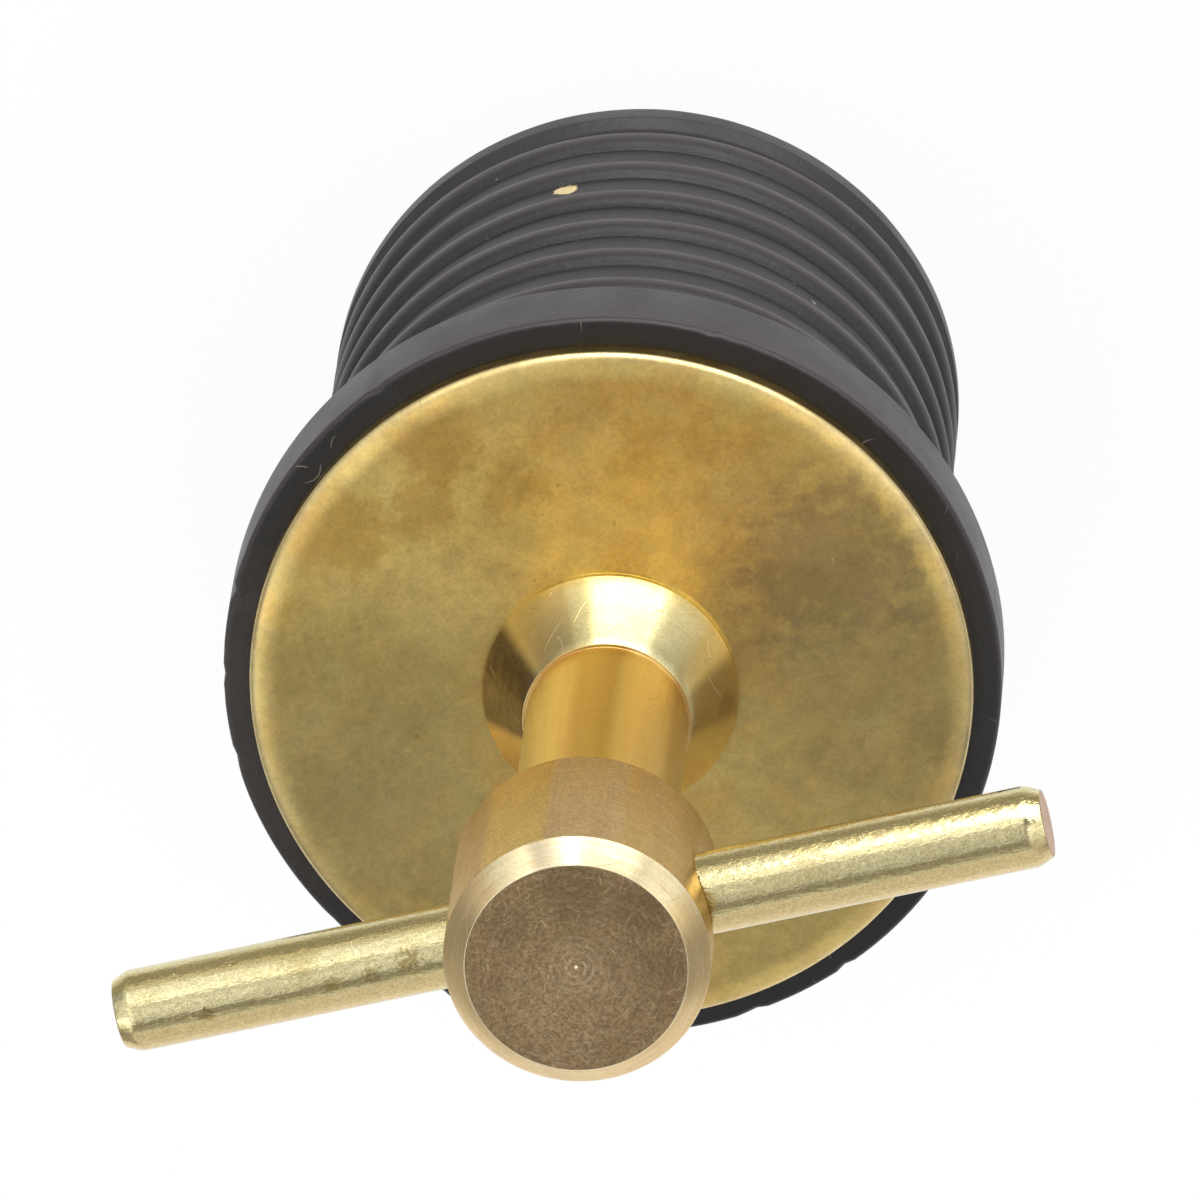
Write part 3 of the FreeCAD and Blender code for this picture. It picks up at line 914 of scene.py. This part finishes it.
def paintZones(piece, zones):
    # a zone is a material and the limits in millimetres of a face's middle, and the last that fits wins
    far = 1000.0
    piece.data.materials.clear()
    for material, limits in zones:
        piece.data.materials.append(material)
    for polygon in piece.data.polygons:
        middle = polygon.center / mm
        radius = math.hypot(middle.x, middle.y)
        for index, (material, limits) in enumerate(zones):
            levelFits = limits.get("above", -far) < middle.z < limits.get("below", far)
            if levelFits and limits.get("outside", -far) < radius < limits.get("inside", far):
                polygon.material_index = index


def finishPiece(piece, body, node):
    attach(piece, body)
    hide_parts(node)
    print(piece.name, "has", len(piece.data.polygons), "faces")


# Ridges: rings when Lead is 0, a screw thread when Lead is the pitch

ridgeInputs = {
    "Surface Radius": 12.35, "Reach": 0.6, "First Level": 0.0, "Last Level": 10.0, "Pitch": 3.1,
    "Foot Width": 1.4, "Height": 0.4, "Lead": 0.0, "Roundness": 2.0, "Fullness": 0.7,
    "Unevenness": 0.0, "Uneven Size": 3.0, "Seed": 1.0,
}


def makeRidgeTree():
    tree = bpy.data.node_groups.new("raisedRidges", "GeometryNodeTree")
    building["tree"] = tree
    tree.interface.new_socket(name="Geometry", in_out="INPUT", socket_type="NodeSocketGeometry")
    for title, value in ridgeInputs.items():
        socket = tree.interface.new_socket(name=title, in_out="INPUT", socket_type="NodeSocketFloat")
        socket.default_value = value
    tree.interface.new_socket(name="Material", in_out="INPUT", socket_type="NodeSocketMaterial")
    tree.interface.new_socket(name="Geometry", in_out="OUTPUT", socket_type="NodeSocketGeometry")
    given = {socket.name: socket for socket in addNode("NodeGroupInput").outputs}
    position = addNode("GeometryNodeInputPosition").outputs[0]
    place = inMillimetres(position)
    parts = partsOf(place)
    level = parts[2]
    across = lengthOf(parts[0], parts[1])
    turn = ratio(mathOf("ARCTAN2", parts[1], parts[0]), 2 * math.pi)
    # distance to the nearest ridge's crest line
    climb = minus(minus(level, given["First Level"]), times(turn, given["Lead"]))
    steps = ratio(climb, given["Pitch"])
    nearest = minus(steps, mathOf("ROUND", steps))
    away = mathOf("ABSOLUTE", times(nearest, given["Pitch"]))
    half = ratio(given["Foot Width"], 2.0)
    rise = minus(1.0, ratio(away, half), clamp=True)
    # a round crest from Roundness, and a full or a hollow flank from Fullness
    fall = mathOf("POWER", minus(1.0, rise), given["Roundness"])
    shape = mathOf("POWER", minus(1.0, fall), given["Fullness"])
    target = plus(given["Surface Radius"], times(given["Height"], shape))
    outwards = times(minus(target, across), mathOf("SIGN", given["Height"]))
    # only what lies near the surface, between the end levels and under the ridge is moved
    above = mathOf("GREATER_THAN", level, minus(given["First Level"], half))
    below = mathOf("LESS_THAN", level, plus(given["Last Level"], half))
    off = mathOf("ABSOLUTE", minus(across, given["Surface Radius"]))
    near = mathOf("LESS_THAN", off, given["Reach"])
    close = times(times(above, below), near)
    use = times(close, mathOf("GREATER_THAN", outwards, 0.0))
    shift = times(minus(target, across), use)
    # the moulding's unevenness only ever takes a little away
    seeded = vectorOf("ADD", place, given["Seed"])
    uneven = noiseOf(seeded, ratio(1.0, given["Uneven Size"]))
    sink = times(uneven, given["Unevenness"])
    share = ratio(minus(shift, sink), mathOf("MAXIMUM", across, 0.001))
    sideways = times(share, mm)
    offset = joined(times(parts[0], sideways), times(parts[1], sideways))
    moved = addNode("GeometryNodeSetPosition", {"Geometry": given["Geometry"], "Offset": offset})
    # how far each point is from a crest, as a share of half the foot, for the finish
    beside = ratio(away, half)
    farOff = 5.0
    stored = plus(beside, times(minus(1.0, close), farOff))
    values = {"Geometry": moved.outputs[0], "Name": "ridgeAway", "Value": stored}
    named = addNode("GeometryNodeStoreNamedAttribute", values, domain="POINT", data_type="FLOAT")
    real = addNode("GeometryNodeRealizeInstances", {0: named.outputs[0]})
    values = {"Geometry": real.outputs[0], "Material": given["Material"]}
    painted = addNode("GeometryNodeSetMaterial", values)
    addNode("NodeGroupOutput", {0: painted.outputs[0]})
    return tree


raisedRidges = makeRidgeTree()


def raiseRidges(piece, values, material):
    modifier = piece.modifiers.new("ridges", "NODES")
    modifier.node_group = raisedRidges
    items = raisedRidges.interface.items_tree
    sockets = {item.name: item.identifier for item in items if item.in_out == "INPUT"}
    for title, value in values.items():
        modifier[sockets[title]] = float(value)
    modifier[sockets["Material"]] = material
    bakeModifiers(piece)


def cutThread(piece, radius, reach, topLevel, depth, material):
    # a ridge with a height below nought is a groove, and it runs round at the pitch
    raiseRidges(piece, {
        "Surface Radius": radius, "Reach": reach, "First Level": 0, "Last Level": topLevel,
        "Pitch": threadShape["pitch"], "Foot Width": threadShape["pitch"] * threadShape["footShare"],
        "Height": -depth, "Lead": threadShape["pitch"], "Roundness": 1.0, "Fullness": 1.0,
    }, material)


# Rubber stopper

stopperShape = {
    "segments": 216,
    "sharpAngle": 40,
    "boreRadius": 3.525,
    "socketAcrossFlats": 11.2,
    "socketDepth": 6.5,
    "bodyRadius": 12.75,
    "rootRadius": 12.35,
    "endRounding": 0.4,
    "endLand": 1.2,
    "landSlope": 0.45,
    "plainLand": 4.0,
    "ribPitch": 3.1,
    "ribCount": 6,
    "ribFoot": 1.35,
    "ribHeight": 0.4,
    "rimRadius": 15.4,
    "flangeThickness": 3.55,
    "boreRounding": 0.1,
    "landRounding": 0.12,
    "rootRounding": 0.25,
    "backRounding": 0.2,
    "rimFrontRounding": 0.25,
    "rimBackRounding": 0.35,
    "ribRoundness": 2.0,
    "ribFullness": 0.6,
    "ribReach": 0.6,
    "unevenness": 0.04,
    "unevenSize": 3.5,
    "seed": 4,
    "rowSpacing": 0.08,
    "nickDepth": 1.95,
    "nickReach": 0.5,
    "nickFineness": 26,
    "nickPatches": 5,
    "nickThreshold": 0.25,
    "nickLeast": 0.15,
    "nickDrop": 0.4,
}


def nickRim(piece, shape):
    # small tears and leftover flash along the flange's front edge, always inwards
    reach = shape["nickReach"]
    for vertex in piece.data.vertices:
        radius = math.hypot(vertex.co.x, vertex.co.y) / mm
        outer = radius - shape["rimRadius"] + reach
        upper = vertex.co.z / mm - flangeFace + reach
        if outer < 0 or upper < 0:
            continue
        turn = math.atan2(vertex.co.y, vertex.co.x)
        along, across = math.cos(turn), math.sin(turn)
        fine = noise.noise(Vector((along * shape["nickFineness"], across * shape["nickFineness"], 3.7)))
        rough = noise.noise(Vector((along * shape["nickPatches"], across * shape["nickPatches"], 8.1)))
        patch = max(shape["nickLeast"], rough + shape["nickThreshold"])
        bite = max(0.0, fine - shape["nickThreshold"]) * patch * shape["nickDepth"]
        bite *= min(1.0, outer / reach) * min(1.0, upper / reach)
        vertex.co.x *= 1 - bite / radius
        vertex.co.y *= 1 - bite / radius
        vertex.co.z -= bite * shape["nickDrop"] * mm


def makeStopper(shape):
    top = flangeFace
    back = top - shape["flangeThickness"]
    landTop = rubberBase + shape["endLand"]
    landStart = back - shape["plainLand"]
    flat = shape["socketAcrossFlats"] / 2
    corners = [
        (shape["boreRadius"], top, shape["boreRounding"]),
        (shape["boreRadius"], rubberBase + shape["socketDepth"], 0),
        (flat, rubberBase + shape["socketDepth"], 0, 6),
        (flat, rubberBase, 0, 6),
        (shape["bodyRadius"], rubberBase, shape["endRounding"]),
        (shape["bodyRadius"], landTop, shape["landRounding"]),
        (shape["rootRadius"], landTop + shape["landSlope"], shape["rootRounding"]),
        (shape["rootRadius"], landStart - shape["landSlope"], shape["rootRounding"]),
        (shape["bodyRadius"], landStart, shape["landRounding"]),
        (shape["bodyRadius"], back, shape["backRounding"]),
        (shape["rimRadius"], back, shape["rimBackRounding"]),
        (shape["rimRadius"], top, shape["rimFrontRounding"]),
    ]
    rows = roundedOutline(corners, closed=True)
    rows = fineRows(rows, landTop, landStart, shape["rowSpacing"], closed=True)
    piece = turnedObject("stopperMoulding", rows, True, shape["segments"])
    firstRib = rubberBase + shape["ribPitch"]
    raiseRidges(piece, {
        "Surface Radius": shape["rootRadius"], "Reach": shape["ribReach"], "First Level": firstRib,
        "Last Level": firstRib + shape["ribPitch"] * (shape["ribCount"] - 1), "Pitch": shape["ribPitch"],
        "Foot Width": shape["ribFoot"], "Height": shape["ribHeight"], "Lead": 0,
        "Roundness": shape["ribRoundness"], "Fullness": shape["ribFullness"],
        "Unevenness": shape["unevenness"], "Uneven Size": shape["unevenSize"], "Seed": shape["seed"],
    }, mouldedRubber)
    nickRim(piece, shape)
    smoothPiece(piece, shape["sharpAngle"])
    finishPiece(piece, "stopper", "rubber_stopper")
    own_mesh(piece)


makeStopper(stopperShape)

# Flanged nut under the rubber

nutShape = {
    "segments": 192,
    "sharpAngle": 32,
    "flangeRadius": 11.1,
    "flangeThickness": 1.6,
    "acrossFlats": 11.0,
    "top": 8.0,
    "mouthChamfer": 0.5,
    "mouthRounding": 0.05,
    "rimRounding": 0.12,
    "rowSpacing": 0.08,
    "threadReach": 0.02,
}


def makeNut(shape):
    bore = threadShape["radius"] + threadShape["clearance"]
    flat = shape["acrossFlats"] / 2
    corners = [
        (bore, shape["top"], 0),
        (bore, shape["mouthChamfer"], 0),
        (bore + shape["mouthChamfer"], 0, shape["mouthRounding"]),
        (shape["flangeRadius"], 0, shape["rimRounding"]),
        (shape["flangeRadius"], shape["flangeThickness"], shape["rimRounding"]),
        (flat, shape["flangeThickness"], 0, 6),
        (flat, shape["top"], 0, 6),
    ]
    rows = roundedOutline(corners, closed=True)
    rows = fineRows(rows, 0, shape["top"], shape["rowSpacing"], closed=True)
    piece = turnedObject("flangedNut", rows, True, shape["segments"])
    depth = threadShape["depth"] * threadShape["nutShare"]
    cutThread(piece, bore, shape["threadReach"], shape["top"], depth, brass["nutBrass"])
    paintZones(piece, [
        (brass["nutBrass"], {}),
        (brass["threadBrass"], {"inside": bore + threadShape["clearance"]}),
    ])
    smoothPiece(piece, shape["sharpAngle"])
    finishPiece(piece, "stopper", "base_nut")


makeNut(nutShape)

# Top washer

washerShape = {
    "segments": 300,
    "sharpAngle": 40,
    "radius": 14.2875,
    "thickness": 1.16,
    "holeRadius": 3.475,
    "rollWidth": 1.2,
    "rollDrop": 0.45,
    "rollSteps": 18,
    "holeRounding": 0.06,
    "underRounding": 0.12,
}


def makeWasher(shape):
    low = washerFace - shape["thickness"]
    rows = roundedOutline([
        (shape["holeRadius"], washerFace, shape["holeRounding"]),
        (shape["holeRadius"], low, shape["holeRounding"]),
        (shape["radius"], low, shape["underRounding"]),
        (shape["radius"], washerFace, 0),
    ], closed=True)[:-1]
    for step in range(shape["rollSteps"] + 1):
        turn = math.pi / 2 * step / shape["rollSteps"]
        inset = shape["rollWidth"] * (1 - math.cos(turn))
        drop = shape["rollDrop"] * (1 - math.sin(turn))
        rows.append((shape["radius"] - inset, washerFace - drop, 0))
    piece = turnedObject("coverWasher", rows, True, shape["segments"])
    piece.data.materials.append(brass["washerBrass"])
    smoothPiece(piece, shape["sharpAngle"])
    finishPiece(piece, "washer", "top_washer")


makeWasher(washerShape)

# Handle screw

screwShape = {
    "segments": 192,
    "sharpAngle": 24,
    "endChamfer": 0.6,
    "threadTop": 12.0,
    "rowSpacing": 0.08,
    "footRadius": 5.05,
    "footLand": 0.25,
    "footTopRadius": 3.32,
    "footHeight": 3.05,
    "footHollow": 0.022,
    "footSteps": 8,
    "neckRadius": 3.2,
    "headRadius": 5.13,
    "headBack": 18.06,
    "headLength": 8.63,
    "frontChamfer": 0.85,
    "backChamfer": 0.2,
    "rootChamfer": 0.3,
    "tipRadius": 0.1,
    "tipHeight": 0.1,
    "tipRounding": 0.02,
    "tipSteps": [(0.6, 0.5), (0.3, 0.9)],
    "footRounding": 0.04,
    "footRimRounding": 0.06,
    "footTopRounding": 0.05,
    "neckFootRounding": 0.03,
    "neckTopRounding": 0.15,
    "headRounding": 0.03,
    "faceRounding": 0.04,
    "threadRunOut": 1.5,
    "threadReach": 4,
    "countersink": 0.3,
    "cutterReach": 2.0,
    "pressFit": 0.005,
}

rodShape = {
    "segments": 96,
    "sharpAngle": 30,
    "radius": 1.5875,
    "length": 36.7,
    "leadRadial": 0.27,
    "leadLength": 0.6,
    "endRounding": 0.1,
    "leadRounding": 0.8,
}


def makeCutter(shape):
    # cross hole with a light countersink at both ends
    radius = rodShape["radius"] - shape["pressFit"]
    mouth = math.sqrt(shape["headRadius"] ** 2 - radius ** 2)
    seat = mouth - shape["countersink"]
    reach = shape["cutterReach"]
    side = [(radius, seat, 0), (radius + reach, seat + reach, 0), (0, seat + reach, 0)]
    rows = [(out, -along, 0) for out, along, sides in reversed(side)] + side
    cutter = turnedObject("crossHoleCutter", rows, False, rodShape["segments"], axis="X")
    cutter.data.transform(Matrix.Translation((0, 0, barLevel * mm)))
    return cutter


def makeScrew(shape):
    thread = threadShape["radius"]
    back = washerFace + shape["headBack"]
    face = back + shape["headLength"]
    footTop = washerFace + shape["footHeight"]
    footLow = washerFace + shape["footLand"]
    chamferStart = shape["headRadius"] - shape["frontChamfer"]
    # the foot's slope is very slightly hollow
    slope = []
    for step in range(1, shape["footSteps"]):
        share = step / shape["footSteps"]
        radius = shape["footRadius"] + (shape["footTopRadius"] - shape["footRadius"]) * share
        hollow = 4 * shape["footHollow"] * share * (1 - share)
        slope.append((radius - hollow, footLow + (footTop - footLow) * share, 0))
    corners = [
        (0, screwEnd, 0),
        (thread - shape["endChamfer"], screwEnd, 0),
        (thread, screwEnd + shape["endChamfer"], 0),
        (thread, shape["threadTop"], 0),
        (thread, washerFace, 0),
        (shape["footRadius"], washerFace, shape["footRounding"]),
        (shape["footRadius"], footLow, shape["footRimRounding"]),
        *slope,
        (shape["footTopRadius"], footTop, shape["footTopRounding"]),
        (shape["neckRadius"], footTop, shape["neckFootRounding"]),
        (shape["neckRadius"], back - shape["rootChamfer"], shape["neckTopRounding"]),
        (shape["neckRadius"] + shape["rootChamfer"], back, 0),
        (shape["headRadius"] - shape["backChamfer"], back, shape["headRounding"]),
        (shape["headRadius"], back + shape["backChamfer"], shape["headRounding"]),
        (shape["headRadius"], face - shape["frontChamfer"], shape["headRounding"]),
        (chamferStart, face, shape["faceRounding"]),
        (shape["tipRadius"], face, shape["tipRounding"]),
        *[(shape["tipRadius"] * out, face + shape["tipHeight"] * up, 0) for out, up in shape["tipSteps"]],
        (0, face + shape["tipHeight"], 0),
    ]
    rows = roundedOutline(corners, closed=False, steps=4)
    rows = fineRows(rows, screwEnd, shape["threadTop"], shape["rowSpacing"], closed=False)
    piece = turnedObject("handleScrew", rows, False, shape["segments"])
    runOut = shape["threadTop"] - shape["threadRunOut"]
    cutThread(piece, thread, shape["threadReach"], runOut, threadShape["depth"], brass["neckBrass"])
    cutter = makeCutter(shape)
    cut = piece.modifiers.new("crossHole", "BOOLEAN")
    cut.operation = "DIFFERENCE"
    cut.solver = "EXACT"
    cut.object = cutter
    bakeModifiers(piece)
    bpy.data.objects.remove(cutter)
    near, off = 0.02, 0.1
    root = shape["neckRadius"] + shape["rootChamfer"]
    paintZones(piece, [
        (brass["neckBrass"], {}),
        (brass["threadBrass"], {"below": washerFace - off}),
        (brass["footBrass"],
         {"above": washerFace - off, "below": footTop - near, "outside": thread + off}),
        (brass["headSideBrass"], {"above": back - near, "outside": root + off}),
        (brass["chamferBrass"], {"above": face - shape["frontChamfer"] + near}),
        (brass["headFaceBrass"], {"above": face - near * 1.5, "inside": chamferStart - near}),
        (brass["chamferBrass"], {"above": face + near / 2}),
    ])
    smoothPiece(piece, shape["sharpAngle"])
    finishPiece(piece, "handle", "handle_screw")


makeScrew(screwShape)

# Tee bar


def makeRod(shape):
    half = shape["length"] / 2
    lead = shape["radius"] - shape["leadRadial"]
    corners = [
        (0, -half, 0),
        (lead, -half, shape["endRounding"]),
        (shape["radius"], -half + shape["leadLength"], shape["leadRounding"]),
        (shape["radius"], half - shape["leadLength"], shape["leadRounding"]),
        (lead, half, shape["endRounding"]),
        (0, half, 0),
    ]
    rows = roundedOutline(corners, closed=False, steps=5)
    piece = turnedObject("teeRod", rows, False, shape["segments"], axis="X")
    piece.data.transform(Matrix.Translation((0, 0, barLevel * mm)))
    piece.data.materials.append(brass["rodBrass"])
    piece.data.materials.append(brass["sawnEndBrass"])
    near = 0.02
    for polygon in piece.data.polygons:
        polygon.material_index = int(abs(polygon.center.x) / mm > half - near)
    smoothPiece(piece, shape["sharpAngle"])
    finishPiece(piece, "handle", "tee_bar")


makeRod(rodShape)
print("pieces made")

# Floor and light

floorShape = {
    "segments": 96,
    "level": -0.02,
    "flatRadius": 3.0,
    "wallRadius": 4.0,
    "wallHeight": 0.7,
    "colour": (0.86, 0.86, 0.86),
    "farColour": (0.42, 0.42, 0.42),
    "whiteCentre": (-0.005, -0.15, 0.0),
    "whiteRadius": 0.175,
    "fadeRadius": 0.225,
    "brightSides": [((0.42, 0.91, 0.0), 0.2, 0.6), ((0.1, -0.99, 0.0), 0.8, 0.93)],
    "brightFrom": 0.32,
    "brightTo": 0.4,
    "glow": 0.93,
    "shadowFrom": 0.018,
    "shadowTo": 0.032,
    "bendShare": 0.8,
    "brightAmount": 0.75,
}


def makeFloor(shape):
    low = shape["level"]
    wall, top = shape["wallRadius"] / mm, shape["wallHeight"] / mm
    bend = top * shape["bendShare"]
    corners = [(0, low, 0), (shape["flatRadius"] / mm, low, 0), (wall, low, bend), (wall, top, 0)]
    rows = roundedOutline(corners, closed=False, steps=10)
    floor = turnedObject("paleFloor", rows, False, shape["segments"])
    floor.data.shade_smooth()
    material = bpy.data.materials.new("paleSheet")
    startTree(material)
    place = addNode("ShaderNodeTexCoord").outputs["Object"]
    away = vectorOf("DISTANCE", place, shape["whiteCentre"])
    fade = rangeOf(away, shape["whiteRadius"], shape["fadeRadius"], smooth=True)
    # beyond the dark strip the sheet is bright again on two sides
    middle = vectorOf("LENGTH", place)
    beyond = rangeOf(middle, shape["brightFrom"], shape["brightTo"], 0.0, shape["brightAmount"], True)
    for aim, edge, full in shape["brightSides"]:
        facing = ratio(vectorOf("DOT_PRODUCT", place, aim), mathOf("MAXIMUM", middle, 0.001))
        bright = times(rangeOf(facing, edge, full, smooth=True), beyond)
        fade = minus(fade, bright, clamp=True)
    path = addNode("ShaderNodeLightPath").outputs
    # the strip shows in the metal, and the camera sees a plain white sheet
    fade = minus(fade, path["Is Camera Ray"], clamp=True)
    shade = mixColour(fade, (1, 1, 1, 1), (*shape["farColour"], 1))
    sheet = addNode("ShaderNodeBsdfDiffuse", {"Color": (*shape["colour"], 1)})
    glow = addNode("ShaderNodeEmission", {"Color": shade, "Strength": 1.0})
    mirrored = mathOf("MAXIMUM", path["Is Glossy Ray"], path["Is Transmission Ray"])
    # the sheet keeps the plug's shadow near the plug and is plain white further out
    plain = rangeOf(middle, shape["shadowFrom"], shape["shadowTo"], shape["glow"], 1.0, True)
    seen = mathOf("MAXIMUM", times(path["Is Camera Ray"], plain), mirrored)
    mix = addNode("ShaderNodeMixShader", {0: seen, 1: sheet.outputs[0], 2: glow.outputs[0]})
    addNode("ShaderNodeOutputMaterial", {"Surface": mix.outputs[0]})
    floor.data.materials.append(material)


makeFloor(floorShape)

# Each glow is (azimuth from +X, elevation, inner angle, outer angle, strength)
studioAir = {
    "base": 0.19,
    "glows": [
        (120, 54, 10, 28, 0.6),
        (165, 76, 8, 20, 0.4),
        (101, 30, 16, 25, 0.9),
        (134, 13, 18, 34, 0.65),
        (16, 16, 18, 36, 0.75),
        (-95, 15, 24, 48, 0.6),
        (178, 48, 14, 34, 0.75),
        (199, 35, 8, 25, 0.75),
        (-16, 48, 14, 42, 0.7),
        (27, 64, 6, 24, 0.6),
        (-108, 68, 8, 32, 0.15),
    ],
}


def makeAir(setup):
    world = bpy.data.worlds.new("studioAir")
    scene.world = world
    startTree(world)
    way = addNode("ShaderNodeTexCoord").outputs["Generated"]
    strength = setup["base"]
    for azimuth, elevation, inner, outer, bright in setup["glows"]:
        facing = vectorOf("DOT_PRODUCT", way, skyWay(azimuth, elevation))
        glow = rangeOf(facing, cosOf(outer), cosOf(inner), 0.0, bright, True)
        strength = plus(glow, strength)
    path = addNode("ShaderNodeLightPath").outputs
    seen = mathOf("MAXIMUM", strength, path["Is Camera Ray"])
    air = addNode("ShaderNodeBackground", {"Color": (1, 1, 1, 1), "Strength": seen})
    addNode("ShaderNodeOutputWorld", {"Surface": air.outputs[0]})


makeAir(studioAir)

# Each softbox is aimed at the plug's washer: azimuth from +X, elevation, distance, width, height, radiance
softboxes = {
    "keyBox": (66, 16, 0.3, 0.29, 0.24, 3.0),
}


def makeSoftbox(name, setup):
    azimuth, elevation, distance, width, height, radiance = setup
    away = Vector(skyWay(azimuth, elevation))
    light = bpy.data.lights.new(name, "AREA")
    light.shape = "RECTANGLE"
    light.size = width
    light.size_y = height
    light.energy = radiance * math.pi * width * height
    box = bpy.data.objects.new(name, light)
    box.location = away * distance + Vector((0, 0, washerFace * mm))
    box.rotation_mode = "QUATERNION"
    box.rotation_quaternion = away.to_track_quat("Z", "Y")
    box.visible_camera = False
    scene.collection.objects.link(box)


for name, setup in softboxes.items():
    makeSoftbox(name, setup)

scene.view_settings.view_transform = "Standard"
print("floor and light made")
